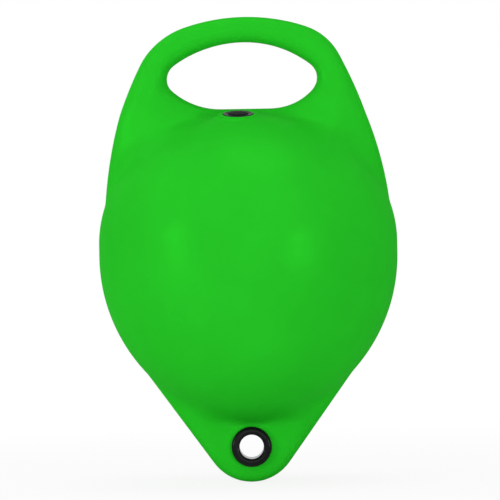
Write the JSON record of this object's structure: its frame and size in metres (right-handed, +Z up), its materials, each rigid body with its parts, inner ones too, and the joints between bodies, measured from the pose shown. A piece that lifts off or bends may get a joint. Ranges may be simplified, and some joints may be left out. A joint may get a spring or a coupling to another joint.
{
  "type": "inflatable anchor buoy",
  "caption": "Round soft vinyl marker buoy with a moulded loop handle on top, a screw valve on the dome and a rope eyelet in the lug underneath.",
  "frame": {"origin": "on the axis of the float at its widest girth, the level at which it floats", "axes": "+Z up through the handle, +X across the handle, -Y on the side of the valve"},
  "size_m": [0.1928, 0.1928, 0.3003],
  "materials": {
    "green_vinyl": "soft satin vinyl",
    "black_plastic": "satin",
    "black_gloss": "gloss"
  },
  "bodies": {
    "float": {"float_body": "green_vinyl", "valve_seat": "black_plastic", "eyelet_bush": "black_gloss", "eyelet_ring": "black_gloss"},
    "plug": {"valve_plug": "black_plastic"}
  },
  "joints": [
    {"name": "valve_plug_turn", "type": "hinge", "parent": "float", "child": "plug", "pos_m": [-0.005, -0.0245, 0.08961], "axis": [0, -0.2248, 0.9744], "range_deg": [0, 1080]}
  ]
}
